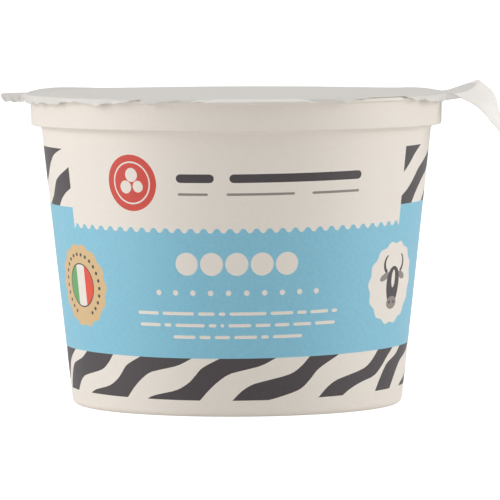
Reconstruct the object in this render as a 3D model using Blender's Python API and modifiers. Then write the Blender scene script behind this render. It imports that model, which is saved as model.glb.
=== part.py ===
"""A sealed round dairy tub: a turned plastic tub and the peel film sealed on its rim.

Blender 4.5, metres, +Z up. The origin is on the tub's axis, at the centre of its base.
The printed front faces -Y and the pull tab points along +X.
"""

import math

import bmesh
import bpy

MM = 0.001

# Tub: a flange with the seal land on top, a straight collar and a tapered wall.
FLANGE_RADIUS = 47.5 * MM
FLANGE_THICK = 0.8 * MM
RIM_Z = 70.0 * MM
COLLAR_RADIUS = 46.65 * MM
COLLAR_FOOT_RADIUS = 46.5 * MM
COLLAR_FOOT_Z = 63.3 * MM
COLLAR_EDGE = 0.5 * MM
WALL_TOP_RADIUS = 44.1 * MM
WALL_DRAFT = math.radians(6.2)
STEP_FILLET = 1.2 * MM
BASE_CORNER = 1.4 * MM
FOOT_WIDTH = 2.5 * MM
GROOVE_WIDTH = 3.0 * MM
GROOVE_DEPTH = 0.8 * MM
TUB_STEPS = 96

# Film: a disc on the rim, its border turned down, with a small ear at -X and a long tab at +X.
FILM_THICK = 0.3 * MM
CLEARANCE = 0.3 * MM
FILM_Z = RIM_Z + CLEARANCE
SEAL_RINGS = (22.0 * MM, 40.0 * MM, 46.4 * MM)
HEM_STEPS = 8
FLAT_HEM = 1.45 * MM  # film past the last seal ring that still lies flat on the flange
FLUSH_HEM = 0.55 * MM  # where the film ends on the flange
HEM_BEND = 0.3 * MM

# How far the border hangs below the film, at degrees anticlockwise from +X, going round.
HEM_DROP = (
    (-12, 1.7), (-23, 1.75), (-34, 1.0), (-41, 0.0), (-51, 0.15), (-59.5, 0.9), (-67, 0.9),
    (-72, 0.85), (-98, 0.85), (-105.5, 0.6), (-112.5, 1.2), (-117, 0.5), (-122, 1.1), (-130, 1.6),
    (-139.5, 1.0), (-146.5, 1.7), (-165, 1.9), (-190, 1.4), (-205, 0.9), (-222, 1.5), (-238, 0.7),
    (-255, 1.3), (-272, 0.6), (-290, 1.4), (-308, 0.8), (-325, 1.5), (-348, 1.2), (-372, 1.7),
)  # fmt: skip

TAB_MIDDLE_Y = -0.8 * MM
TAB_HALF_WIDTH = 8.8 * MM
TAB_LENGTH = 18.5 * MM
TAB_SQUARENESS = 4.5  # 2 would be a half ellipse
EAR_HALF_WIDTH = 7.0 * MM
EAR_LENGTH = 4.2 * MM
EAR_SQUARENESS = 3.0
EAR_DIP = 1.5 * MM  # its front edge hangs this far down

# The tab's crease slants: it lies this far from the seal ring at the near and the far edge. Before
# it the tab bends up within a few millimetres to these degrees, and past it the tab hangs: rows of
# (millimetres past the crease, degrees).
CREASE = (3.4, 10.0)
TAB_RISE = (-3, 19)
RISE_EASE = 4.0
TAB_NEAR_SLOPE = ((0, -27), (5.0, -28), (6.8, -42), (9.0, -54), (12.0, -52), (19.0, -58))
TAB_FAR_SLOPE = ((0, -38), (2.8, -36), (4.6, -56), (6.5, -78), (12.0, -82))
CREASE_HALF = 0.5  # half the width of its bend
SLOPE_STEP = 0.1 * MM

# Where the border stands up instead: rows of (degrees, spread in degrees, height).
STANDS_UP = ((152, 18, 0.65 * MM), (28, 13, 0.35 * MM))

STATION_STEP = 3  # degrees between rays across the film
FLAP_STATIONS = (0.0, 0.2, 0.4, 0.58, 0.72, 0.83, 0.91, 0.96, 0.99, 1.0)  # shares of a half width

TUB_CREAM = (0.88, 0.82, 0.74, 1.0)
FILM_SILVER = (0.75, 0.75, 0.74, 1.0)


def clear_scene():
    for old in list(bpy.data.objects):
        bpy.data.objects.remove(old, do_unlink=True)


def plastic(name, color, roughness, metallic=0.0):
    material = bpy.data.materials.new(name)
    material.use_nodes = True
    shader = material.node_tree.nodes["Principled BSDF"]
    shader.inputs["Base Color"].default_value = color
    shader.inputs["Roughness"].default_value = roughness
    shader.inputs["Metallic"].default_value = metallic
    return material


def between(table, at):
    """The value of a table of (place, value) rows at one place, eased from row to row."""
    if at <= table[0][0]:
        return table[0][1]
    for (low, first), (high, second) in zip(table, table[1:]):
        if at <= high:
            share = (at - low) / (high - low)
            share *= share * (3 - 2 * share)
            return first + (second - first) * share
    return table[-1][1]


def arc(center, radius, start, end, steps):
    """Points on an arc in the profile's plane, with angles in degrees."""
    turns = [math.radians(start + (end - start) * i / steps) for i in range(steps + 1)]
    return [(center[0] + radius * math.cos(t), center[1] + radius * math.sin(t)) for t in turns]


def wall_radius(z):
    """Outer radius of the tapered wall at a height."""
    return WALL_TOP_RADIUS - (COLLAR_FOOT_Z - z) * math.tan(WALL_DRAFT)


def tub_profile():
    """The outline from the axis on top, down the outer side and back to the axis below."""
    half = FLANGE_THICK / 2
    points = [(0.0, RIM_Z)]
    points += arc((FLANGE_RADIUS - half, RIM_Z - half), half, 90, -90, 6)
    points += [(COLLAR_RADIUS, RIM_Z - FLANGE_THICK)]
    points += arc((COLLAR_FOOT_RADIUS - COLLAR_EDGE, COLLAR_FOOT_Z + COLLAR_EDGE), COLLAR_EDGE, 0, -90, 3)
    points += arc(
        (WALL_TOP_RADIUS + STEP_FILLET, COLLAR_FOOT_Z - STEP_FILLET),
        STEP_FILLET,
        90,
        180 - math.degrees(WALL_DRAFT),
        3,
    )
    corner_radius = wall_radius(BASE_CORNER) - BASE_CORNER
    points += arc((corner_radius, BASE_CORNER), BASE_CORNER, -math.degrees(WALL_DRAFT), -90, 4)
    groove_outer = corner_radius - FOOT_WIDTH
    groove_inner = groove_outer - GROOVE_WIDTH
    points += [(groove_outer, 0.0), (groove_outer - GROOVE_DEPTH, GROOVE_DEPTH)]
    points += [(groove_inner + GROOVE_DEPTH, GROOVE_DEPTH), (groove_inner, 0.0)]
    points += [(0.0, 0.0)]
    return points


def make_tub(collection):
    """The tub as one turned solid: it is shut, so its inside isn't seen."""
    points = tub_profile()
    mesh = bpy.data.meshes.new("tub")
    corners = [(x, 0.0, z) for x, z in points]
    mesh.from_pydata(corners, [(i, i + 1) for i in range(len(corners) - 1)], [])
    tub = bpy.data.objects.new("tub", mesh)
    collection.objects.link(tub)
    turn = tub.modifiers.new("turned", "SCREW")
    turn.axis = "Z"
    turn.angle = math.tau
    turn.screw_offset = 0.0
    turn.steps = TUB_STEPS
    turn.render_steps = TUB_STEPS
    turn.use_merge_vertices = True
    turn.merge_threshold = 0.00001
    turn.use_smooth_shade = True
    mesh.materials.append(plastic("tub_polypropylene", TUB_CREAM, 0.3))
    return tub


def flap_reach(offset, half_width, length, squareness):
    """How far a flap with round corners sticks out at a place across its width."""
    share = min(abs(offset) / half_width, 1.0)
    return length * (1 - share**squareness) ** (1 / squareness)


def stand_up(degrees):
    """How far the border's edge stands up at an angle from +X."""
    return sum(high * math.exp(-(((degrees - at) / spread) ** 2)) for at, spread, high in STANDS_UP)


def hem_drop(degrees):
    """How far the border hangs down at an angle from +X."""
    place = (-12 - degrees) % 360
    table = [(-12 - row[0], row[1] * MM) for row in HEM_DROP]
    hung = 1 - min(stand_up(degrees) / (0.3 * MM), 1.0)
    return between(table, place) * hung


def hem_point(radius, degrees, share, length, drop):
    """A point of the border, at a share of its length past the last seal ring."""
    angle = math.radians(degrees)
    reach = length * share
    down = min(drop / (0.6 * MM), 1.0) * math.radians(82)
    bent = min(max(reach - FLAT_HEM, 0.0), HEM_BEND * down)
    straight = max(reach - FLAT_HEM - HEM_BEND * down, 0.0)
    turned = bent / HEM_BEND
    out = min(reach, FLAT_HEM) + HEM_BEND * math.sin(turned) + straight * math.cos(down)
    fall = HEM_BEND * (1 - math.cos(turned)) + straight * math.sin(down)
    z = FILM_Z - fall + stand_up(degrees) * share
    return ((radius + out) * math.cos(angle), (radius + out) * math.sin(angle), z)


def tab_slope(gone, across):
    """Slope of the tab in degrees, gone millimetres out, from its near edge (0) to its far (1)."""
    past = gone - (CREASE[0] + (CREASE[1] - CREASE[0]) * across)
    rise = TAB_RISE[0] + (TAB_RISE[1] - TAB_RISE[0]) * across
    rise *= between(((0, 0), (RISE_EASE, 1)), gone)
    near, far = between(TAB_NEAR_SLOPE, past), between(TAB_FAR_SLOPE, past)
    hang = near + (far - near) * across
    return rise + (hang - rise) * between(((-CREASE_HALF, 0), (CREASE_HALF, 1)), past)


def tab_point(start, reach, across):
    """A point of the tab: it follows its slope from the seal ring outwards."""
    x = start[0]
    z = FILM_Z
    steps = max(int(round(reach / SLOPE_STEP)), 1)
    for i in range(steps):
        slope = math.radians(tab_slope((i + 0.5) * reach / steps / MM, across))
        x += reach / steps * math.cos(slope)
        z += reach / steps * math.sin(slope)
    return (x, start[1], z)


def ear_point(start, reach):
    """A point of the ear, which lies level except for its front edge."""
    front = (-start[1] - 0.45 * EAR_HALF_WIDTH) / (0.5 * EAR_HALF_WIDTH)
    front = between(((0, 0), (1, 1)), front)
    past = between(((0, 0), (1, 1)), (reach - FLAT_HEM) / (1.2 * MM))
    return (start[0] - reach, start[1] * (1 - 0.04 * past), FILM_Z - EAR_DIP * front * past)


def film_ray(degrees, radius):
    """Points of the film from the last seal ring to its edge, in one direction."""
    angle = math.radians(degrees)
    start = (radius * math.cos(angle), radius * math.sin(angle))
    drop = hem_drop(degrees)
    flat = between(((0, 0), (0.4 * MM, FLAT_HEM - FLUSH_HEM)), max(drop, stand_up(degrees)))
    length = FLUSH_HEM + flat + drop
    offset = start[1] - TAB_MIDDLE_Y
    shares = [(i + 1) / HEM_STEPS for i in range(HEM_STEPS)]
    if start[0] > 0 and abs(offset) < TAB_HALF_WIDTH:
        reach = flap_reach(offset, TAB_HALF_WIDTH, TAB_LENGTH, TAB_SQUARENESS)
        across = 0.5 + 0.5 * offset / TAB_HALF_WIDTH
        longest = max(reach, length)
        return [tab_point(start, longest * share, across) for share in shares]
    if start[0] < 0 and abs(start[1]) < EAR_HALF_WIDTH:
        extra = flap_reach(start[1], EAR_HALF_WIDTH, EAR_LENGTH, EAR_SQUARENESS)
        longest = length + extra
        return [ear_point(start, longest * share) for share in shares]
    return [hem_point(radius, degrees, share, length, drop) for share in shares]


def stations():
    """The rays' directions in degrees, closer together across the tab and the ear."""
    ring = SEAL_RINGS[-1]
    found = set()
    for side in (-1, 1):
        for share in FLAP_STATIONS:
            y = TAB_MIDDLE_Y + side * share * TAB_HALF_WIDTH
            found.add(round(math.degrees(math.asin(y / ring)) % 360, 3))
            y = side * share * EAR_HALF_WIDTH
            found.add(round(180 - math.degrees(math.asin(y / ring)), 3))
    tab = [d for d in found if not 90 < d < 270]
    ear = [d for d in found if 90 < d < 270]
    tab_low, tab_high = min(d for d in tab if d > 180), max(d for d in tab if d < 180)
    for step in range(0, 360, STATION_STEP):
        if tab_high + 1 < step < min(ear) - 1 or max(ear) + 1 < step < tab_low - 1:
            found.add(float(step))
    return sorted(found)


def make_film(collection):
    """The peel film: seal rings inside, then the border, the ear and the tab along rays."""
    film_bm = bmesh.new()
    center = film_bm.verts.new((0.0, 0.0, FILM_Z))
    rays = []
    for degrees in stations():
        angle = math.radians(degrees)
        points = [(r * math.cos(angle), r * math.sin(angle), FILM_Z) for r in SEAL_RINGS]
        points += film_ray(degrees, SEAL_RINGS[-1])
        rays.append([film_bm.verts.new(point) for point in points])
    for ray, following in zip(rays, rays[1:] + rays[:1]):
        film_bm.faces.new((center, ray[0], following[0]))
        for i in range(len(ray) - 1):
            film_bm.faces.new((ray[i], ray[i + 1], following[i + 1], following[i]))
    mesh = bpy.data.meshes.new("film")
    film_bm.to_mesh(mesh)
    film_bm.free()
    mesh.shade_smooth()
    film = bpy.data.objects.new("film", mesh)
    collection.objects.link(film)
    wall = film.modifiers.new("film_thickness", "SOLIDIFY")
    wall.thickness = FILM_THICK
    wall.offset = 1.0
    mesh.materials.append(plastic("film_laminate", FILM_SILVER, 0.35))
    return film


def main():
    clear_scene()
    collection = bpy.data.collections.new("sealed_dairy_tub")
    bpy.context.scene.collection.children.link(collection)
    make_tub(collection)
    make_film(collection)


main()
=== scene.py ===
"""The looks of a sealed round tub of small mozzarella balls: printed plastic tub and peel film."""

import math

import bmesh
import bpy
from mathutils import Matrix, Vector
from mathutils.geometry import delaunay_2d_cdt


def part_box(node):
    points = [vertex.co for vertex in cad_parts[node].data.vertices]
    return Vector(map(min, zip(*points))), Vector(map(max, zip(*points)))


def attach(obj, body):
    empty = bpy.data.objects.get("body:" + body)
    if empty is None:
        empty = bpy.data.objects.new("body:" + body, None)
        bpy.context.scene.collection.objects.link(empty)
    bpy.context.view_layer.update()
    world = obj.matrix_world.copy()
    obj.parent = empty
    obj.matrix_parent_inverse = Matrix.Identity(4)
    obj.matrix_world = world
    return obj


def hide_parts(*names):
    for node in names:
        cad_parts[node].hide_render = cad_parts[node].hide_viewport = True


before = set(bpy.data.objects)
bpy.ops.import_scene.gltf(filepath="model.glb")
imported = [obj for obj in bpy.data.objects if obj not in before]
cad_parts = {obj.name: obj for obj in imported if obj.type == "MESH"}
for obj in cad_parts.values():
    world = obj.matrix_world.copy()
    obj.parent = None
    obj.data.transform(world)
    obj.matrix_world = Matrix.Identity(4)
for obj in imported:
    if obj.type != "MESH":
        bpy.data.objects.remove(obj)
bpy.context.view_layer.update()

MM = 0.001
TUB_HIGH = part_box("tub")[1]

# ---------------------------------------------------------------- tub sizes, in millimetres
FLANGE_RADIUS = TUB_HIGH.x / MM
RIM_Z = TUB_HIGH.z / MM + 0.2  # the seal land meets the film here
FLANGE_THICK = 0.9
COLLAR_RADIUS = 46.65
COLLAR_FOOT_RADIUS = 46.5
COLLAR_FOOT_Z = 63.3
COLLAR_EDGE = 0.45
WALL_TOP_RADIUS = 44.1
WALL_DRAFT = math.radians(6.2)
STEP_FILLET = 1.2
BASE_CORNER = 1.4
FOOT_WIDTH = 2.5
GROOVE_WIDTH = 3.0
GROOVE_DEPTH = 0.8
GATE_RADIUS = 2.2
GATE_DEPTH = 0.35
TURN_STEPS = 240
WALL_ROWS = 16

# ---------------------------------------------------------------- film sizes, in millimetres
FILM_Z = RIM_Z + 0.12
FILM_THICK = 0.12
SEAL_RING = 46.4
SEAL_TRACK = 45.2  # middle of the pressed heat-seal track
SEAL_TRACK_DEPTH = 0.07
TRACK_INNER = 44.0  # inside this the film is free
DISC_RINGS = 20
HEM_STEPS = 26
HEM_STEP = 16  # the point on a ray of the hem where it turns down
CREASE_STEP = 12  # the point on a ray of the tab that lies on its crease
FLAT_HEM = 1.4
FLUSH_HEM = 0.5
HEM_BEND = 0.3
TAB_MIDDLE_Y = -0.8
TAB_HALF_WIDTH = 8.8
TAB_LENGTH = 18.5
TAB_SQUARENESS = 4.5
EAR_HALF_WIDTH = 7.0
EAR_LENGTH = 4.2
EAR_SQUARENESS = 3.0
EAR_DIP = 1.5
FILM_RAY_STEP = 0.5  # degrees
HEM_SLOPE = 80  # degrees, where the border hangs
HEM_WAVES = ((41, 0.7, 0.16), (67, 2.1, 0.12), (113, 0.0, 0.08))  # waves a turn, phase, millimetres
DISC_SLACK = 0.22  # how far the film sags in the middle

# At the front the border is smooth, painted lighter in place of the light it catches, and leans out:
# the middle in degrees anticlockwise from +X, half the smooth stretch, half the painted lighter one,
# and how much flatter it slopes, all in degrees.
FRONT_HEM_AT = 275
SMOOTH_HEM_HALF = 15
PAINTED_LIT_HEM_HALF = 17.5
FRONT_HEM_FLATTER = 25

# How far the film's border hangs down, in millimetres, at degrees anticlockwise from +X.
HEM_DROP = (
    (-12, 1.7), (-23, 1.75), (-34, 1.0), (-41, 0.0), (-51, 0.15), (-59.5, 0.9), (-67, 0.9),
    (-72, 0.85), (-98, 0.85), (-105.5, 0.6), (-112.5, 1.2), (-117, 0.5), (-122, 1.1), (-130, 1.6),
    (-139.5, 1.0), (-146.5, 1.7), (-165, 1.9), (-190, 1.4), (-205, 0.9), (-222, 1.5), (-238, 0.7),
    (-255, 1.3), (-272, 0.6), (-290, 1.4), (-308, 0.8), (-325, 1.5), (-348, 1.2), (-372, 1.7),
)  # fmt: skip

# The tab's crease slants: it lies this far from the seal ring at the near and the far edge. Before
# it the tab rises, by these degrees, and past it the tab hangs: rows of (millimetres past the
# crease, degrees).
CREASE = (3.4, 10.0)
CREASE_HALF = 0.5
TAB_RISE = (-3, 19)
RISE_EASE = 4.0
TAB_NEAR_SLOPE = ((0, -27), (5.0, -28), (6.8, -42), (9.0, -54), (12.0, -52), (19.0, -58))
TAB_FAR_SLOPE = ((0, -38), (2.8, -36), (4.6, -56), (6.5, -78), (12.0, -82))
SLOPE_STEP = 0.1

# Where the border stands up instead: rows of (degrees, spread in degrees, height).
STANDS_UP = ((152, 18, 0.65), (28, 13, 0.35))

# ---------------------------------------------------------------- print layout
# Angles are degrees round from the front, to the right. Heights are millimetres.
PANEL_HALF = 59.8
STRIPES_LOW_Z = 3.7
BAND_LOW_Z = 13.06
BAND_HIGH_Z = 45.35
STRIPES_HIGH_Z = 58.35
TEETH = 30
TEETH_Z = 41.35
TOOTH_HEIGHT = 0.56
SEAM_HALF = 0.35
PANEL_LOW_Z = 41.0  # hidden by the band's toothed edge
WRAP_LOW_Z = 3.0
WRAP_HIGH_Z = 59.0
PRINT_TILT = 0.24  # how far the wrap climbs to the right
PRINT_BOW = 0.62  # how far it climbs towards both sides

# How a stripe's edge leans from its foot to its head: rows of (share of height, share of lean).
EARLY = ((0, 0), (0.08, 0.09), (0.15, 0.24), (0.23, 0.42), (0.41, 0.59), (0.6, 0.69), (0.78, 0.78), (1, 1))
LATE = ((0, 0), (0.26, 0.13), (0.5, 0.28), (0.65, 0.42), (0.73, 0.6), (0.82, 0.8), (1, 1))
MIDWAY = ((0, 0), (0.25, 0.14), (0.4, 0.29), (0.49, 0.5), (0.6, 0.74), (0.78, 0.89), (1, 1))
BELLIED = ((0, 0), (0.15, 0.14), (0.27, 0.32), (0.37, 0.56), (0.56, 0.72), (0.8, 0.86), (1, 1))
SOON = ((0, 0), (0.06, 0.14), (0.21, 0.41), (0.41, 0.55), (0.7, 0.7), (1, 1))

# Each lower stripe: its foot's left end and width, then the lean and form of its left edge and
# of its right edge, in degrees.
LOWER_STRIPES = [
    (-80.5, 10.2, 20.5, LATE, 25.0, MIDWAY),
    (-59.6, 19.6, 26.0, EARLY, 25.0, LATE),
    (-31.8, 19.2, 26.0, EARLY, 25.4, LATE),
    (-1.7, 12.3, 26.1, MIDWAY, 25.0, SOON),
    (28.3, 9.8, 25.6, MIDWAY, 25.6, BELLIED),
    (54.3, 10.0, 15.5, LATE, 19.0, LATE),
    (73.5, 9.5, 21.0, EARLY, 23.0, LATE),
]
BACK_STRIPES = 7

# The upper stripes, in the same way, and their edges' forms.
CURLED = ((0, 0), (0.3, 0.25), (0.5, 0.49), (0.66, 0.6), (0.79, 0.7), (0.89, 0.8), (1, 1))
HOOKED = ((0, 0), (0.15, 0.17), (0.31, 0.26), (0.44, 0.33), (0.52, 0.42), (0.66, 0.61), (1, 1))
SLACK = ((0, 0), (0.13, 0.09), (0.25, 0.21), (0.33, 0.32), (1, 1))
STEADY = ((0, 0), (0.54, 0.59), (0.64, 0.68), (0.76, 0.77), (0.87, 0.85), (1, 1))
SWAYED = ((0, 0), (0.14, 0.14), (0.25, 0.24), (0.37, 0.32), (0.49, 0.39), (0.61, 0.47), (0.83, 0.75),
          (1, 1))  # fmt: skip
FLICKED = ((0, 0), (0.17, 0.08), (0.3, 0.17), (0.42, 0.28), (0.53, 0.45), (1, 1))
UPPER_STRIPES = [
    (-120.0, 25.0, 32.0, SWAYED, 32.0, CURLED),
    (-80.7, 11.3, 32.0, HOOKED, 30.0, SLACK),
    (31.0, 11.9, 28.0, STEADY, 28.0, STEADY),
    (54.5, 12.9, 36.0, SWAYED, 34.0, FLICKED),
    (78.2, 12.0, 32.0, SWAYED, 32.0, FLICKED),
]
BACK_UPPER_STRIPES = 6
STRIPE_POINTS = 20

# The badges' middles: degrees round from the front, and height.
RED_BADGE = (-32.6, 51.7)
TAN_BADGE = (-59.0, 27.95)
CREAM_BADGE = (59.4, 27.85)
ROSETTE = {"radius": 9.1, "lobes": 14, "depth": 0.28, "points": 168}

# Lines of bars in the places of words: left and right end in degrees, height of the line, height
# of its bars, the words' lengths against each other, and the gap between them in degrees.
WORD_LINES = (
    ("charcoal", -18.0, 39.7, 52.9, 1.9, (9, 33), 4.5),
    ("grey", -17.6, 39.2, 49.4, 0.55, (9, 20, 16), 5.5),
    ("cream", -33.1, 33.7, 23.0, 0.72, (7, 10, 5, 2, 11, 7, 3, 6, 2), 1.3),
    ("cream", -32.5, 33.0, 20.4, 0.72, (6, 2, 8, 2, 1, 6, 4, 4, 5, 6), 1.3),
    ("cream", -20.9, 21.4, 17.8, 0.72, (6, 3, 4, 6, 2, 8), 1.3),
)
# Rows of discs: how many, the first one's angle, the angle between them, height, radius, points.
DISC_ROWS = ((5, -15.6, 7.8, 34.0, 2.55, 48), (10, -25.2, 5.65, 27.6, 0.62, 20))

# ---------------------------------------------------------------- sRGB colours
CREAM = "EFE6DB"
SKY = "86C5DB"
CHARCOAL = "42393B"
GREY = "8F8780"
SEAL_RED = "D44232"
TAN = "DCBA87"
LEAF_GREEN = "62A862"
TOMATO = "E8472A"
FILM_WHITE = "DEDAD4"
# Painted light: the same film's white made lighter, for the parts of the film that catch the light.
LIT_FILM_WHITE = "F8F3ED"
BOARD_GREY = "C8C8C8"

# ---------------------------------------------------------------- finishes
# Sizes of the patterns in the plastic and in the film, and depths of their relief, in millimetres.
DOT_SIZE = 0.7  # coarser than real print dots, which are too fine to show
FLOW_SIZE = 14
WAVE_SIZE = 5
WAVE_DEPTH = 0.03
CLOUD_SIZE = 7
CRINKLE_SIZE = 2.2
CRINKLE_DEPTH = 0.05
PLASTIC_ROUGHNESS = (0.42, 0.51)
FILM_ROUGHNESS = (0.38, 0.52)
CLOUD_SHADE = (0.965, 1.02)


def linear(hex_color):
    """An sRGB hex colour as linear RGBA."""
    parts = [int(hex_color[i : i + 2], 16) / 255 for i in (0, 2, 4)]
    return tuple(p / 12.92 if p <= 0.04045 else ((p + 0.055) / 1.055) ** 2.4 for p in parts) + (1.0,)


def add(tree, kind, settings=None, **links):
    """Adds one node: settings are its properties, links its inputs by name (spaces as underscores)
    or by number (after an underscore)."""
    made = tree.nodes.new(kind)
    for name, value in (settings or {}).items():
        setattr(made, name, value)
    for name, value in links.items():
        key = int(name[1:]) if name[0] == "_" else name.replace("_", " ")
        socket = made.inputs[key]
        if isinstance(value, bpy.types.NodeSocket):
            tree.links.new(value, socket)
        else:
            socket.default_value = value
    return made


def start_material(name):
    """A new material with one shader, and the object's own coordinates to place its patterns."""
    material = bpy.data.materials.new(name)
    material.use_nodes = True
    tree = material.node_tree
    tree.nodes.clear()
    shader = add(tree, "ShaderNodeBsdfPrincipled")
    add(tree, "ShaderNodeOutputMaterial", Surface=shader.outputs["BSDF"])
    place = add(tree, "ShaderNodeTexCoord").outputs["Object"]
    return material, tree, shader, place


def moulded_plastic(name, hex_color, grain):
    """Polypropylene, injection moulded, with the ink under its gloss: an even soft shine, a faint
    grain of print dots in the colour, and the slight waviness of a moulded wall."""
    material, tree, shader, place = start_material(name)
    dots = add(tree, "ShaderNodeTexNoise", Vector=place, Scale=1 / (DOT_SIZE * MM), Detail=1.0)
    dot = dots.outputs["Fac"]
    shade = add(tree, "ShaderNodeMapRange", _0=dot, _1=0.3, _2=0.7, _3=1 - grain, _4=1 + grain)
    base = linear(hex_color)[:3]
    tone = add(tree, "ShaderNodeVectorMath", {"operation": "SCALE"}, _0=base, Scale=shade.outputs[0])
    tree.links.new(tone.outputs[0], shader.inputs["Base Color"])
    flow = add(tree, "ShaderNodeTexNoise", Vector=place, Scale=1 / (FLOW_SIZE * MM), Detail=2.0)
    low, high = PLASTIC_ROUGHNESS
    gloss = add(tree, "ShaderNodeMapRange", _0=flow.outputs["Fac"], _1=0.3, _2=0.7, _3=low, _4=high)
    tree.links.new(gloss.outputs[0], shader.inputs["Roughness"])
    wave = add(tree, "ShaderNodeTexNoise", Vector=place, Scale=1 / (WAVE_SIZE * MM), Detail=1.0)
    depth = WAVE_DEPTH * MM
    bump = add(tree, "ShaderNodeBump", Height=wave.outputs["Fac"], Distance=depth, Strength=0.6)
    tree.links.new(bump.outputs[0], shader.inputs["Normal"])
    shader.inputs["IOR"].default_value = 1.6
    return material


def film_laminate(name, hex_color):
    """Peelable polyester laminate, rolled and heat sealed: a satin white-silver sheet whose shine
    is broken by fine creases, so that it greys where it turns from the light."""
    material, tree, shader, place = start_material(name)
    cloud = add(tree, "ShaderNodeTexNoise", Vector=place, Scale=1 / (CLOUD_SIZE * MM), Detail=3.0)
    pattern = cloud.outputs["Fac"]
    low, high = CLOUD_SHADE
    shade = add(tree, "ShaderNodeMapRange", _0=pattern, _1=0.3, _2=0.7, _3=low, _4=high)
    base = linear(hex_color)[:3]
    tone = add(tree, "ShaderNodeVectorMath", {"operation": "SCALE"}, _0=base, Scale=shade.outputs[0])
    tree.links.new(tone.outputs[0], shader.inputs["Base Color"])
    low, high = FILM_ROUGHNESS
    gloss = add(tree, "ShaderNodeMapRange", _0=pattern, _1=0.3, _2=0.7, _3=low, _4=high)
    tree.links.new(gloss.outputs[0], shader.inputs["Roughness"])
    crinkle = add(tree, "ShaderNodeTexNoise", Vector=place, Scale=1 / (CRINKLE_SIZE * MM), Detail=2.0)
    depth = CRINKLE_DEPTH * MM
    bump = add(tree, "ShaderNodeBump", Height=crinkle.outputs["Fac"], Distance=depth, Strength=0.5)
    tree.links.new(bump.outputs[0], shader.inputs["Normal"])
    shader.inputs["IOR"].default_value = 1.5
    return material


FILM_FACE = film_laminate("white_polyester_film_rolled", FILM_WHITE)
# The same film painted lighter: painted light on the tab past its crease and on the smooth front hem.
LIT_FILM_FACE = film_laminate("white_polyester_film_painted_lit", LIT_FILM_WHITE)

INKS = {
    "cream": moulded_plastic("cream_polypropylene_moulded", CREAM, 0.012),
    "sky": moulded_plastic("sky_blue_ink_printed", SKY, 0.035),
    "charcoal": moulded_plastic("charcoal_ink_printed", CHARCOAL, 0.06),
    "grey": moulded_plastic("grey_ink_printed", GREY, 0.03),
    "red": moulded_plastic("seal_red_ink_printed", SEAL_RED, 0.03),
    "tan": moulded_plastic("tan_ink_printed", TAN, 0.02),
    "green": moulded_plastic("leaf_green_ink_printed", LEAF_GREEN, 0.03),
    "tomato": moulded_plastic("tomato_red_ink_printed", TOMATO, 0.03),
}
INK_ORDER = list(INKS)


# ---------------------------------------------------------------- tub
def arc(center, radius, start, end, steps):
    """Points along an arc, between two directions in degrees."""
    turns = [math.radians(start + (end - start) * i / steps) for i in range(steps + 1)]
    return [(center[0] + radius * math.cos(t), center[1] + radius * math.sin(t)) for t in turns]


DRAFT_DEGREES = math.degrees(WALL_DRAFT)
FILLET_CENTER = (WALL_TOP_RADIUS + STEP_FILLET, COLLAR_FOOT_Z - STEP_FILLET)
WALL_HIGH = arc(FILLET_CENTER, STEP_FILLET, 180 - DRAFT_DEGREES, 180 - DRAFT_DEGREES, 1)[0]
WALL_LOW_Z = BASE_CORNER * (1 - math.sin(WALL_DRAFT))


def wall_radius(z):
    """Outer radius of the tapered wall at a height, in millimetres."""
    return WALL_HIGH[0] - (WALL_HIGH[1] - z) * math.tan(WALL_DRAFT)


CORNER_RADIUS = wall_radius(WALL_LOW_Z) - BASE_CORNER * math.cos(WALL_DRAFT)


def rim_profile():
    """From the axis over the seal land, round the flange and down the collar to the wall."""
    half = FLANGE_THICK / 2
    points = [(0.0, RIM_Z - 1.0), (41.0, RIM_Z - 1.0), (42.5, RIM_Z)]
    points += arc((FLANGE_RADIUS - half, RIM_Z - half), half, 90, -90, 12)
    points += arc((COLLAR_RADIUS + 0.25, RIM_Z - FLANGE_THICK - 0.25), 0.25, 90, 180, 4)
    points += arc((COLLAR_FOOT_RADIUS - COLLAR_EDGE, COLLAR_FOOT_Z + COLLAR_EDGE), COLLAR_EDGE, 0, -90, 6)
    points += arc(FILLET_CENTER, STEP_FILLET, 90, 180 - DRAFT_DEGREES, 8)
    return points


def base_profile():
    """From the wall's foot round the corner, across the foot ring and groove, to the gate mark."""
    points = arc((CORNER_RADIUS, BASE_CORNER), BASE_CORNER, -DRAFT_DEGREES, -90, 8)
    groove_outer = CORNER_RADIUS - FOOT_WIDTH
    groove_inner = groove_outer - GROOVE_WIDTH
    middle = (groove_outer + groove_inner) / 2
    half = GROOVE_WIDTH / 2
    for i in range(9):
        share = i / 4 - 1
        rise = GROOVE_DEPTH * math.cos(share * math.pi / 2) ** 2
        points.append((middle - share * half, rise))
    points += [(GATE_RADIUS * 2, 0.0), (GATE_RADIUS, 0.0)]
    return points + [(GATE_RADIUS * 0.8, GATE_DEPTH), (0.0, GATE_DEPTH)]


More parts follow.
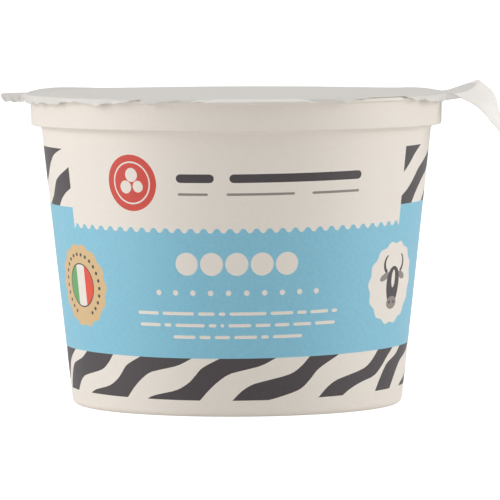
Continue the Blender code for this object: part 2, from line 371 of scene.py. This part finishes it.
def turning_tree():
    """Geometry Nodes: turns a profile of points round Z."""
    tree = bpy.data.node_groups.new("turned_profile", "GeometryNodeTree")
    face = tree.interface
    face.new_socket("Profile", in_out="INPUT", socket_type="NodeSocketGeometry")
    face.new_socket("Turn Steps", in_out="INPUT", socket_type="NodeSocketInt")
    face.new_socket("Weld Distance", in_out="INPUT", socket_type="NodeSocketFloat")
    face.new_socket("Plastic", in_out="INPUT", socket_type="NodeSocketMaterial")
    face.new_socket("Turned", in_out="OUTPUT", socket_type="NodeSocketGeometry")
    given = add(tree, "NodeGroupInput").outputs
    count = add(tree, "GeometryNodeAttributeDomainSize", {"component": "MESH"}, Geometry=given["Profile"])
    rows = count.outputs["Point Count"]
    steps = given["Turn Steps"]
    columns = add(tree, "ShaderNodeMath", {"operation": "ADD"}, _0=steps, _1=1.0)
    grid = add(tree, "GeometryNodeMeshGrid", Vertices_X=columns.outputs[0], Vertices_Y=rows)
    index = add(tree, "GeometryNodeInputIndex").outputs[0]
    row = add(tree, "ShaderNodeMath", {"operation": "FLOORED_MODULO"}, _0=index, _1=rows)
    ratio = add(tree, "ShaderNodeMath", {"operation": "DIVIDE"}, _0=index, _1=rows)
    column = add(tree, "ShaderNodeMath", {"operation": "FLOOR"}, _0=ratio.outputs[0])
    share = add(tree, "ShaderNodeMath", {"operation": "DIVIDE"}, _0=column.outputs[0], _1=steps)
    angle = add(tree, "ShaderNodeMath", {"operation": "MULTIPLY"}, _0=share.outputs[0], _1=math.tau)
    spot = add(tree, "GeometryNodeInputPosition").outputs[0]
    read = add(
        tree,
        "GeometryNodeSampleIndex",
        {"data_type": "FLOAT_VECTOR", "domain": "POINT"},
        Geometry=given["Profile"],
        Value=spot,
        Index=row.outputs[0],
    )
    turned = add(
        tree,
        "ShaderNodeVectorRotate",
        {"rotation_type": "Z_AXIS"},
        Vector=read.outputs[0],
        Angle=angle.outputs[0],
    )
    moved = add(tree, "GeometryNodeSetPosition", Geometry=grid.outputs["Mesh"], Position=turned.outputs[0])
    welded = add(
        tree, "GeometryNodeMergeByDistance", Geometry=moved.outputs[0], Distance=given["Weld Distance"]
    )
    smooth = add(tree, "GeometryNodeSetShadeSmooth", Geometry=welded.outputs[0])
    solid = add(tree, "GeometryNodeRealizeInstances", Geometry=smooth.outputs[0])
    painted = add(tree, "GeometryNodeSetMaterial", Geometry=solid.outputs[0], Material=given["Plastic"])
    add(tree, "NodeGroupOutput", Turned=painted.outputs[0])
    return tree


def turned(name, profile, tree, material):
    """A plain mesh turned from a profile, in metres."""
    mesh = bpy.data.meshes.new(name)
    mesh.from_pydata([(r * MM, 0.0, z * MM) for r, z in profile], [], [])
    piece = bpy.data.objects.new(name, mesh)
    bpy.context.scene.collection.objects.link(piece)
    turner = piece.modifiers.new("turned", "NODES")
    turner.node_group = tree
    values = {"Turn Steps": TURN_STEPS, "Weld Distance": 0.001 * MM, "Plastic": material}
    for socket in tree.interface.items_tree:
        if socket.name in values:
            turner[socket.identifier] = values[socket.name]
    depsgraph = bpy.context.evaluated_depsgraph_get()
    result = bpy.data.meshes.new_from_object(piece.evaluated_get(depsgraph))
    bpy.data.objects.remove(piece, do_unlink=True)
    return result


# ---------------------------------------------------------------- print
def degrees_per_mm(z):
    """How many degrees round the wall a millimetre spans at a height."""
    return math.degrees(1 / wall_radius(z))


def box_outline(left, right, low, high):
    """A field with level and upright edges."""
    return [(left, low), (right, low), (right, high), (left, high)]


def blob(angle, z, outline):
    """A shape given in millimetres round its middle, placed on the wall."""
    spread = degrees_per_mm(z)
    return [(angle + x * spread, z + y) for x, y in outline]


def scalloped(radius, lobes=0, depth=0.0, points=72, squash=1.0, turn=0.0):
    """A circle, or a rosette with shallow lobes. squash flattens it and turn tilts it."""
    outline = []
    for i in range(points):
        t = math.tau * i / points
        reach = radius + depth * math.cos(lobes * t)
        x, y = reach * math.cos(t), reach * squash * math.sin(t)
        outline.append((x * math.cos(turn) - y * math.sin(turn), x * math.sin(turn) + y * math.cos(turn)))
    return outline


def pill(left, right, z, height):
    """A bar with round ends along a level line, from one angle to another."""
    half = height / 2
    spread = degrees_per_mm(z)
    ends = arc((right - half * spread, 0), 1, -90, 90, 6) + arc((left + half * spread, 0), 1, 90, 270, 6)
    outline = []
    for i, (a, rise) in enumerate(ends):
        middle = right - half * spread if i < 7 else left + half * spread
        outline.append((middle + (a - middle) * half * spread, z + rise * half))
    return outline


def line_of_words(left, right, z, height, words, gap):
    """Short bars in the place of a line of small print."""
    total = sum(words)
    room = right - left - gap * (len(words) - 1)
    bars = []
    at = left
    for word in words:
        width = room * word / total
        bars.append(pill(at, at + width, z, height))
        at += width + gap
    return bars


def smooth_through(rows, at):
    """The value of a smooth curve through rows of (place, value)."""
    i = next(i for i in range(1, len(rows)) if at <= rows[i][0] + 1e-9)
    (low, first), (high, second) = rows[i - 1], rows[i]
    before, after = rows[max(i - 2, 0)], rows[min(i + 1, len(rows) - 1)]
    start = (second - before[1]) / (high - before[0]) * (high - low)
    end = (after[1] - first) / (after[0] - low) * (high - low)
    t = (at - low) / (high - low)
    bend = (2 * t**3 - 3 * t**2 + 1) * first + (3 * t**2 - 2 * t**3) * second
    return bend + (t**3 - 2 * t**2 + t) * start + (t**3 - t**2) * end


def stripe(foot, width, left_lean, left_form, right_lean, right_form, low, high):
    """A leaning, wavy stripe between two heights."""
    left, right = [], []
    for i in range(STRIPE_POINTS + 1):
        t = i / STRIPE_POINTS
        z = low + (high - low) * t
        left.append((foot + left_lean * smooth_through(left_form, t), z))
        right.append((foot + width + right_lean * smooth_through(right_form, t), z))
    return right + left[::-1]


def followed(outline):
    """The outline with a point at each of the wall's upright rows of points, so that long level
    edges bend round the tub instead of cutting through it."""
    step = 360 / TURN_STEPS
    points = []
    for (a, z), (b, w) in zip(outline, outline[1:] + outline[:1]):
        points.append((a, z))
        first, last = sorted((a / step, b / step))
        inner = [k * step for k in range(math.floor(first) + 1, math.ceil(last))]
        for angle in inner if b > a else inner[::-1]:
            if min(abs(angle - a), abs(angle - b)) > 0.05:
                points.append((angle, z + (w - z) * (angle - a) / (b - a)))
    return points


def around(outline):
    """The outline, and its copies one turn to each side where they reach the wall's seam."""
    copies = []
    for turn in (-360, 0, 360):
        moved = [(a + turn, z) for a, z in outline]
        if any(-180 < a < 180 for a, z in moved):
            copies.append(moved)
    return copies


def band_outline():
    """The blue band: its top steps down to a toothed edge across the front panel."""
    outline = [(-180, BAND_LOW_Z), (180, BAND_LOW_Z), (180, BAND_HIGH_Z), (PANEL_HALF, BAND_HIGH_Z)]
    steps = TEETH * 12
    edge = []
    for i in range(steps + 1):
        share = i / steps
        t = share * TEETH * math.tau
        tooth = -math.cos(t) + 0.11 * math.cos(3 * t)
        z = TEETH_Z + TOOTH_HEIGHT * tooth
        edge.append((PANEL_HALF * (1 - 2 * share), z))
    corner = TEETH_Z + 0.9
    outline += [(PANEL_HALF, corner)] + edge + [(-PANEL_HALF, corner), (-PANEL_HALF, BAND_HIGH_Z)]
    return outline + [(-180, BAND_HIGH_Z)]


def stripe_fields():
    """The stripes below the band all round, and above it beside and behind the front panel."""
    stripes = [stripe(*row, STRIPES_LOW_Z, BAND_LOW_Z) for row in LOWER_STRIPES]
    first = LOWER_STRIPES[-1][0]
    pitch = (LOWER_STRIPES[0][0] + 360 - first) / (BACK_STRIPES + 1)
    forms = ((EARLY, LATE), (MIDWAY, SOON), (EARLY, LATE))
    for i in range(1, BACK_STRIPES + 1):
        width = 10.5 + 2.5 * math.sin(2.1 * i)
        lean = 21 + 3 * math.cos(1.7 * i)
        left_form, right_form = forms[i % 3]
        row = (first + pitch * i, width, lean, left_form, lean + 1, right_form)
        stripes.append(stripe(*row, STRIPES_LOW_Z, BAND_LOW_Z))
    first = UPPER_STRIPES[-1][0]
    pitch = (UPPER_STRIPES[0][0] + 360 - first) / (BACK_UPPER_STRIPES + 1)
    upper = list(UPPER_STRIPES)
    for i in range(1, BACK_UPPER_STRIPES + 1):
        width = 11.5 + 1.5 * math.sin(2.4 * i)
        lean = 31 + 3 * math.cos(1.9 * i)
        left_form, right_form = (SWAYED, HOOKED)[i % 2], (FLICKED, SLACK)[i % 2]
        upper.append((first + pitch * i, width, lean, left_form, lean, right_form))
    stripes += [stripe(*row, BAND_HIGH_Z, STRIPES_HIGH_Z) for row in upper]
    return [copy for outline in stripes for copy in around(outline)]


def disc_half(radius, low, high, points=24):
    """The part of a disc between two upright lines."""
    start, end = math.acos(high / radius), math.acos(max(low / radius, -1))
    top = [(radius * math.cos(start + (end - start) * i / points), 0) for i in range(points + 1)]
    top = [(x, math.sqrt(max(radius * radius - x * x, 0))) for x, _ in top]
    return top + [(x, -y) for x, y in top[::-1] if y > 1e-6]


def cow_head(angle, z, size=1.25):
    """A plain cow's head of a few ovals: horns, ears, head and muzzle."""
    shapes = []

    def draw(ink, outline, x=0.0, y=0.0):
        shapes.append((ink, blob(angle, z, [(size * (u + x), size * (v + y)) for u, v in outline])))

    for side in (-1, 1):
        horn = arc((side * 1.6, 3.4), 1.9, -60 if side > 0 else 240, 60 if side > 0 else 120, 8)
        inner = arc((side * 1.3, 3.6), 1.6, 60 if side > 0 else 120, -60 if side > 0 else 240, 8)
        draw("charcoal", horn + inner)
        draw("grey", scalloped(1.5, points=24, squash=0.42, turn=-side * 0.35), side * 2.9, 1.2)
    draw("charcoal", [(x * (1.0 + 0.09 * y), y * 1.75) for x, y in scalloped(2.15, points=40)], 0.0, -0.8)
    draw("cream", scalloped(1.61, points=24, squash=0.38, turn=math.pi / 2), 0.0, 0.7)
    draw("grey", scalloped(1.75, points=32, squash=0.66), 0.0, -3.6)
    for side in (-1, 1):
        draw("charcoal", scalloped(0.3, points=12), side * 0.75, -3.5)
    return shapes


def badges():
    """Simple badges: a red disc with cheese balls, a tan rosette with a striped disc, and a cream
    rosette with a cow's head."""
    red_place, tan_place, cream_place = RED_BADGE, TAN_BADGE, CREAM_BADGE
    shapes = [("red", blob(*red_place, scalloped(6.25)))]
    shapes += [("cream", blob(*red_place, scalloped(4.75))), ("red", blob(*red_place, scalloped(4.4)))]
    for x, y, radius in ((-1.55, -0.95, 1.45), (1.6, -0.8, 1.3), (0.05, 1.75, 1.55)):
        ball = [(x + u, y + v) for u, v in scalloped(radius, points=32)]
        shapes.append(("cream", blob(*red_place, ball)))
    shapes.append(("tan", blob(*tan_place, scalloped(**ROSETTE))))
    for i in range(22):
        t = math.radians(-60 + 300 * i / 21)
        dot = [(6.9 * math.cos(t) + u, 6.9 * math.sin(t) + v) for u, v in scalloped(0.42, points=12)]
        shapes.append(("charcoal", blob(*tan_place, dot)))
    shapes.append(("charcoal", blob(*tan_place, scalloped(4.95))))
    shapes.append(("cream", blob(*tan_place, scalloped(4.65))))
    shapes.append(("tomato", blob(*tan_place, disc_half(4.65, 1.65, 4.65))))
    left = [(-x, y) for x, y in disc_half(4.65, 1.65, 4.65)][::-1]
    shapes.append(("green", blob(*tan_place, left)))
    shapes.append(("cream", blob(*cream_place, scalloped(**ROSETTE))))
    return shapes + cow_head(*cream_place)


def panel_marks():
    """Bars, dots and balls in the places of the front's words."""
    marks = []
    for ink, *line in WORD_LINES:
        marks += [(ink, bar) for bar in line_of_words(*line)]
    for count, first, pitch, z, radius, points in DISC_ROWS:
        for i in range(count):
            marks.append(("cream", blob(first + pitch * i, z, scalloped(radius, points=points))))
    return marks


def print_shapes():
    """The whole wrap, from the bottom layer of ink to the top one."""
    shapes = [("charcoal", outline) for outline in stripe_fields()]
    shapes.append(("cream", box_outline(-PANEL_HALF, PANEL_HALF, PANEL_LOW_Z, WRAP_HIGH_Z)))
    shapes.append(("sky", band_outline()))
    shapes += badges() + panel_marks()
    for side in (-1, 1):
        low, high = sorted((side * 180, side * (180 - SEAM_HALF)))
        shapes.append(("cream", box_outline(low, high, WRAP_LOW_Z, WRAP_HIGH_Z)))
    return shapes


def climb(angle):
    """How far the wrap's level lines have climbed at an angle: it sits a little askew."""
    side = math.sin(math.radians(angle))
    return PRINT_TILT * side + PRINT_BOW * side * side


def printed_wall():
    """The tapered wall, cut along the edges of the print so that each ink has its own faces."""
    flat = math.radians(1) * wall_radius((BAND_LOW_Z + BAND_HIGH_Z) / 2)
    points, faces, inks = [], [], []

    def put(outline):
        """Adds an outline. All but the first, which is the whole wall, climb with the wrap."""
        first = len(points)
        following = outline[1:] + outline[:1]
        if sum(a[0] * b[1] - b[0] * a[1] for a, b in zip(outline, following)) < 0:
            outline = outline[::-1]
        outline = followed(outline)
        points.extend(Vector((a * flat, z + climb(a) * (first > 0))) for a, z in outline)
        faces.append(list(range(first, first + len(outline))))

    put(box_outline(-180, 180, WALL_LOW_Z, WALL_HIGH[1]))
    inks.append("cream")
    for ink, outline in print_shapes():
        put(outline)
        inks.append(ink)
    for row in range(WALL_ROWS + 1):
        z = WALL_LOW_Z + (WALL_HIGH[1] - WALL_LOW_Z) * row / WALL_ROWS
        points.extend(Vector(((i / TURN_STEPS * 360 - 180) * flat, z)) for i in range(TURN_STEPS + 1))
    spots, _, triangles, _, _, origins = delaunay_2d_cdt(points, [], faces, 0, 1e-5)
    mesh_bm = bmesh.new()
    corners = []
    for spot in spots:
        turn, radius = math.radians(spot.x / flat), wall_radius(spot.y)
        corners.append(
            mesh_bm.verts.new((radius * math.sin(turn) * MM, -radius * math.cos(turn) * MM, spot.y * MM))
        )
    for triangle, owners in zip(triangles, origins):
        if 0 not in owners:
            continue
        face = mesh_bm.faces.new([corners[i] for i in triangle])
        face.material_index = INK_ORDER.index(inks[max(owners)])
        face.smooth = True
    loose = [v for v in mesh_bm.verts if not v.link_faces]
    bmesh.ops.delete(mesh_bm, geom=loose, context="VERTS")
    mesh = bpy.data.meshes.new("printed_wall")
    mesh_bm.to_mesh(mesh)
    mesh_bm.free()
    return mesh


def make_tub():
    """Rim, printed wall and base, welded into one closed body with exact normals on the wall."""
    tree = turning_tree()
    parts = [
        turned("rim", rim_profile(), tree, INKS["cream"]),
        turned("base", base_profile(), tree, INKS["cream"]),
        printed_wall(),
    ]
    whole = bmesh.new()
    for part in parts[:2]:
        whole.from_mesh(part)
    for face in whole.faces:
        face.material_index = INK_ORDER.index("cream")
    whole.from_mesh(parts[2])
    bmesh.ops.remove_doubles(whole, verts=whole.verts, dist=0.002 * MM)
    bmesh.ops.recalc_face_normals(whole, faces=whole.faces)
    mesh = bpy.data.meshes.new("printed_tub")
    whole.to_mesh(mesh)
    whole.free()
    for ink in INK_ORDER:
        mesh.materials.append(INKS[ink])
    mesh.shade_smooth()
    normals = []
    for vertex, normal in zip(mesh.vertices, mesh.vertex_normals):
        x, y, z = vertex.co / MM
        radius = math.hypot(x, y)
        if WALL_LOW_Z - 0.01 < z < WALL_HIGH[1] + 0.01 and abs(radius - wall_radius(z)) < 0.05:
            out = math.cos(WALL_DRAFT) / radius
            normals.append((x * out, y * out, -math.sin(WALL_DRAFT)))
        else:
            normals.append(tuple(normal.vector))
    mesh.normals_split_custom_set_from_vertices(normals)
    tub = bpy.data.objects.new("printed_tub", mesh)
    bpy.context.scene.collection.objects.link(tub)
    return tub


# ---------------------------------------------------------------- film
def between(table, at):
    """The value of a table of (place, value) rows at one place, eased from row to row."""
    if at <= table[0][0]:
        return table[0][1]
    for (low, first), (high, second) in zip(table, table[1:]):
        if at <= high:
            share = (at - low) / (high - low)
            share *= share * (3 - 2 * share)
            return first + (second - first) * share
    return table[-1][1]


def ease(low, high, at):
    """From 0 to 1 as at goes from low to high, without a corner."""
    return between(((low, 0.0), (high, 1.0)), at)


def flap_reach(offset, half_width, length, squareness):
    """How far a flap with a rounded end reaches out, offset from its middle line."""
    share = min(abs(offset) / half_width, 1.0)
    return length * (1 - share**squareness) ** (1 / squareness)


def stand_up(degrees):
    """How far the border's edge stands up at an angle from +X."""
    return sum(high * math.exp(-((((degrees % 360) - at) / spread) ** 2)) for at, spread, high in STANDS_UP)


def front_hem(degrees):
    """Nearly 1 where the border is smooth and leans out, at the front, and 0 elsewhere."""
    return math.exp(-((((degrees % 360) - FRONT_HEM_AT) / SMOOTH_HEM_HALF) ** 4))


def hem_drop(degrees):
    """How far the border hangs down at an angle from +X, with its small ragged waves."""
    place = (-12 - degrees) % 360
    table = [(-12 - row[0], row[1]) for row in HEM_DROP]
    drop = between(table, place)
    t = math.radians(degrees)
    ragged = sum(deep * math.sin(count * t + phase) for count, phase, deep in HEM_WAVES)
    ragged *= 1 - front_hem(degrees)
    hung = 1 - min(stand_up(degrees) / 0.3, 1.0)
    return max(drop + ragged * min(drop / 0.5, 1.0), 0.0) * hung


def hem_point(radius, degrees, reach, length, drop):
    """A point of the border, after reach of film past the seal ring."""
    angle = math.radians(degrees)
    slope = HEM_SLOPE + 9 * math.sin(19 * angle) - FRONT_HEM_FLATTER * front_hem(degrees)
    down = min(drop / 0.6, 1.0) * math.radians(slope)
    bent = min(max(reach - FLAT_HEM, 0.0), HEM_BEND * down)
    straight = max(reach - FLAT_HEM - HEM_BEND * down, 0.0)
    turned_by = bent / HEM_BEND
    out = min(reach, FLAT_HEM) + HEM_BEND * math.sin(turned_by) + straight * math.cos(down)
    fall = HEM_BEND * (1 - math.cos(turned_by)) + straight * math.sin(down)
    flutter = 0.14 * straight * math.sin(53 * angle + 1.3)
    lift = stand_up(degrees) * reach / length
    r = radius + out + flutter
    return (r * math.cos(angle), r * math.sin(angle), FILM_Z - fall + lift)


def tab_slope(gone, across):
    """Slope of the tab in degrees, gone millimetres out, from its near edge (0) to its far (1)."""
    past = gone - (CREASE[0] + (CREASE[1] - CREASE[0]) * across)
    rise = (TAB_RISE[0] + (TAB_RISE[1] - TAB_RISE[0]) * across) * ease(0.0, RISE_EASE, gone)
    near, far = between(TAB_NEAR_SLOPE, past), between(TAB_FAR_SLOPE, past)
    hang = near + (far - near) * across
    return rise + (hang - rise) * ease(-CREASE_HALF, CREASE_HALF, past)


def tab_ray(start, longest, across):
    """Points of the tab along one ray, following its slope from the seal ring outwards."""
    points = []
    x, z, gone = start[0], FILM_Z, 0.0
    crease = min(CREASE[0] + (CREASE[1] - CREASE[0]) * across, longest / 2)
    for i in range(1, HEM_STEPS + 1):
        target = crease * min(i / CREASE_STEP, 1.0)
        target += (longest - crease) * max(i - CREASE_STEP, 0) / (HEM_STEPS - CREASE_STEP)
        steps = max(int(math.ceil((target - gone) / SLOPE_STEP)), 1)
        step = (target - gone) / steps
        for _ in range(steps):
            slope = math.radians(tab_slope(gone + step / 2, across))
            x += step * math.cos(slope)
            z += step * math.sin(slope)
            gone += step
        points.append((x, start[1], z))
    return points


def ear_point(start, reach):
    """A point of the ear: level behind, its front edge turned down and crimped."""
    front = ease(0.0, 1.0, (-start[1] - 0.45 * EAR_HALF_WIDTH) / (0.5 * EAR_HALF_WIDTH))
    past = ease(0.0, 1.2, reach - FLAT_HEM)
    crimp = 0.18 * math.sin(3.4 * reach) * past
    return (start[0] - reach, start[1] * (1 - 0.04 * past), FILM_Z - (EAR_DIP + crimp) * front * past)


def film_ray(degrees):
    """Points of the film past the seal ring, in one direction."""
    angle = math.radians(degrees)
    start = (SEAL_RING * math.cos(angle), SEAL_RING * math.sin(angle))
    drop = hem_drop(degrees)
    flat = (FLAT_HEM - FLUSH_HEM) * ease(0.0, 0.4, max(drop, stand_up(degrees)))
    length = FLUSH_HEM + flat + drop
    offset = start[1] - TAB_MIDDLE_Y
    shares = [(i + 1) / HEM_STEPS for i in range(HEM_STEPS)]
    if start[0] > 0 and abs(offset) < TAB_HALF_WIDTH:
        reach = flap_reach(offset, TAB_HALF_WIDTH, TAB_LENGTH, TAB_SQUARENESS)
        return tab_ray(start, max(reach, length), 0.5 + 0.5 * offset / TAB_HALF_WIDTH)
    if start[0] < 0 and abs(start[1]) < EAR_HALF_WIDTH:
        longest = length + flap_reach(start[1], EAR_HALF_WIDTH, EAR_LENGTH, EAR_SQUARENESS)
        return [ear_point(start, longest * share) for share in shares]
    return [hem_point(SEAL_RING, degrees, length * share, length, drop) for share in shares]


def disc_height(radius, angle):
    """Height of the film over the tub: the pressed seal track and faint tension waves."""
    track = SEAL_TRACK_DEPTH * math.exp(-(((radius - SEAL_TRACK) / 0.55) ** 2))
    slack = DISC_SLACK * (1 - (radius / TRACK_INNER) ** 2) if radius < TRACK_INNER else 0.0
    waves = 0.05 * math.sin(9 * angle + 0.8) + 0.035 * math.sin(17 * angle + radius / 9)
    return FILM_Z - track - slack + waves * ease(12, 38, radius) * (1 - ease(40, TRACK_INNER, radius))


def is_painted_lit(face, row):
    """True where the film is painted lighter, standing in for the light that falls there: the tab past its
    crease and the smooth hem at the front.
    """
    middle = face.calc_center_median() / MM
    if middle.x > 0 and abs(middle.y - TAB_MIDDLE_Y) < TAB_HALF_WIDTH:
        return row >= CREASE_STEP
    aside = math.degrees(math.atan2(middle.x, -middle.y)) - (FRONT_HEM_AT - 270)
    return row >= HEM_STEP + (HEM_STEPS - HEM_STEP) * (aside / PAINTED_LIT_HEM_HALF) ** 4


def ray_directions():
    """Directions in degrees: even ones, and closer ones across the sides of the tab and the ear."""
    found = {i * FILM_RAY_STEP for i in range(int(360 / FILM_RAY_STEP))}
    for i in range(24):
        share = 1 - (i / 24) ** 2 * 0.5
        for side in (-1, 1):
            y = TAB_MIDDLE_Y + side * share * TAB_HALF_WIDTH
            found.add(math.degrees(math.asin(y / SEAL_RING)) % 360)
            found.add(180 - math.degrees(math.asin(side * share * EAR_HALF_WIDTH / SEAL_RING)))
    kept = []
    for degrees in sorted(found):
        if not kept or degrees - kept[-1] > 0.004:
            kept.append(degrees)
    return kept


def make_film():
    """The peel film as one sheet: disc, border, ear and tab, then its thickness."""
    sheet = bmesh.new()
    center = sheet.verts.new((0.0, 0.0, disc_height(0.0, 0.0) * MM))
    radii = [SEAL_RING * ((i + 1) / DISC_RINGS) ** 0.6 for i in range(DISC_RINGS)]
    rays = []
    for degrees in ray_directions():
        angle = math.radians(degrees)
        points = [(r * math.cos(angle), r * math.sin(angle), disc_height(r, angle)) for r in radii]
        points += film_ray(degrees)
        rays.append([sheet.verts.new([c * MM for c in point]) for point in points])
    for ray, following in zip(rays, rays[1:] + rays[:1]):
        sheet.faces.new((center, ray[0], following[0]))
        for i in range(len(ray) - 1):
            face = sheet.faces.new((ray[i], ray[i + 1], following[i + 1], following[i]))
            # Faces that catch the light get the lighter copy of the film, which is painted light.
            face.material_index = int(is_painted_lit(face, i - DISC_RINGS + 1))
    mesh = bpy.data.meshes.new("peel_film")
    sheet.to_mesh(mesh)
    sheet.free()
    mesh.shade_smooth()
    mesh.materials.append(FILM_FACE)
    mesh.materials.append(LIT_FILM_FACE)
    film = bpy.data.objects.new("peel_film", mesh)
    bpy.context.scene.collection.objects.link(film)
    wall = film.modifiers.new("film_thickness", "SOLIDIFY")
    wall.thickness = FILM_THICK * MM
    wall.offset = 0.0
    return film


# ---------------------------------------------------------------- studio, in metres
CAMERA_PLACE = (0.0, -1.159, 0.1067)
CAMERA_AIM = (0.003, 0.0, 0.0346)
CAMERA_ROLL = -0.22  # degrees
LAMP_AIM = (0, 0, 0.04)


def make_floor():
    """White board, matt painted: it glows to plain white for the camera and lights the tub less."""
    bpy.ops.mesh.primitive_plane_add(size=30.0)
    floor = bpy.context.object
    floor.name = "floor"
    material, tree, shader, _ = start_material("matt_white_board_painted")
    shader.inputs["Base Color"].default_value = linear(BOARD_GREY)
    shader.inputs["Roughness"].default_value = 0.9
    shader.inputs["Emission Color"].default_value = (1, 1, 1, 1)
    path = add(tree, "ShaderNodeLightPath")
    glow = add(tree, "ShaderNodeMapRange", _0=path.outputs["Is Camera Ray"], _3=0.22, _4=0.85)
    tree.links.new(glow.outputs[0], shader.inputs["Emission Strength"])
    floor.data.materials.append(material)


def soft_box(name, azimuth, height, distance, size, power):
    """A square white lamp facing the tub, azimuth degrees round from the front."""
    lamp = bpy.data.lights.new(name, "AREA")
    lamp.shape = "SQUARE"
    lamp.size = size
    lamp.energy = power
    light = bpy.data.objects.new(name, lamp)
    turn = math.radians(azimuth)
    light.location = (distance * math.sin(turn), -distance * math.cos(turn), height)
    aim = Vector(LAMP_AIM) - light.location
    light.rotation_euler = aim.to_track_quat("-Z", "Y").to_euler()
    light.visible_camera = False
    bpy.context.scene.collection.objects.link(light)


def make_world(front, back):
    """A white room: pure white where the camera looks past the floor. As a light it is dimmer,
    from its dark end behind the camera to its bright end behind the tub."""
    world = bpy.data.worlds.new("white_room")
    bpy.context.scene.world = world
    world.use_nodes = True
    tree = world.node_tree
    backdrop = tree.nodes["Background"]
    backdrop.inputs["Color"].default_value = (1, 1, 1, 1)
    way = add(tree, "ShaderNodeSeparateXYZ", _0=add(tree, "ShaderNodeTexCoord").outputs["Generated"])
    room = add(tree, "ShaderNodeMapRange", _0=way.outputs["Y"], _1=-1.0, _2=1.0, _3=front, _4=back)
    path = add(tree, "ShaderNodeLightPath")
    level = add(tree, "ShaderNodeMapRange", _0=path.outputs["Is Camera Ray"], _3=room.outputs[0], _4=1.05)
    tree.links.new(level.outputs[0], backdrop.inputs["Strength"])


def make_camera():
    """The viewpoint: a long lens, a little above the rim."""
    camera = bpy.data.cameras.new("camera")
    camera.lens = 368.0
    camera.sensor_width = 36.0
    camera.clip_start = 0.05
    view = bpy.data.objects.new("camera", camera)
    view.location = CAMERA_PLACE
    aim = Vector(CAMERA_AIM) - view.location
    view.rotation_euler = aim.to_track_quat("-Z", "Y").to_euler()
    view.rotation_euler.rotate_axis("Z", math.radians(CAMERA_ROLL))
    bpy.context.scene.collection.objects.link(view)
    bpy.context.scene.camera = view


make_camera()
make_world(front=0.4, back=0.7)
soft_box("left_box", azimuth=-80, height=0.3, distance=1.1, size=0.9, power=7.4)
soft_box("right_box", azimuth=86, height=0.3, distance=1.1, size=0.9, power=6.2)
soft_box("top_box", azimuth=0, height=1.3, distance=0.2, size=1.0, power=1.8)
make_floor()

tub = make_tub()
film = make_film()
for piece, node, slot in ((tub, "tub", "tub_plastic"), (film, "film", "lid_film")):
    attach(piece, "root")
    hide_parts(node)

scene = bpy.context.scene
scene.view_settings.view_transform = "Standard"
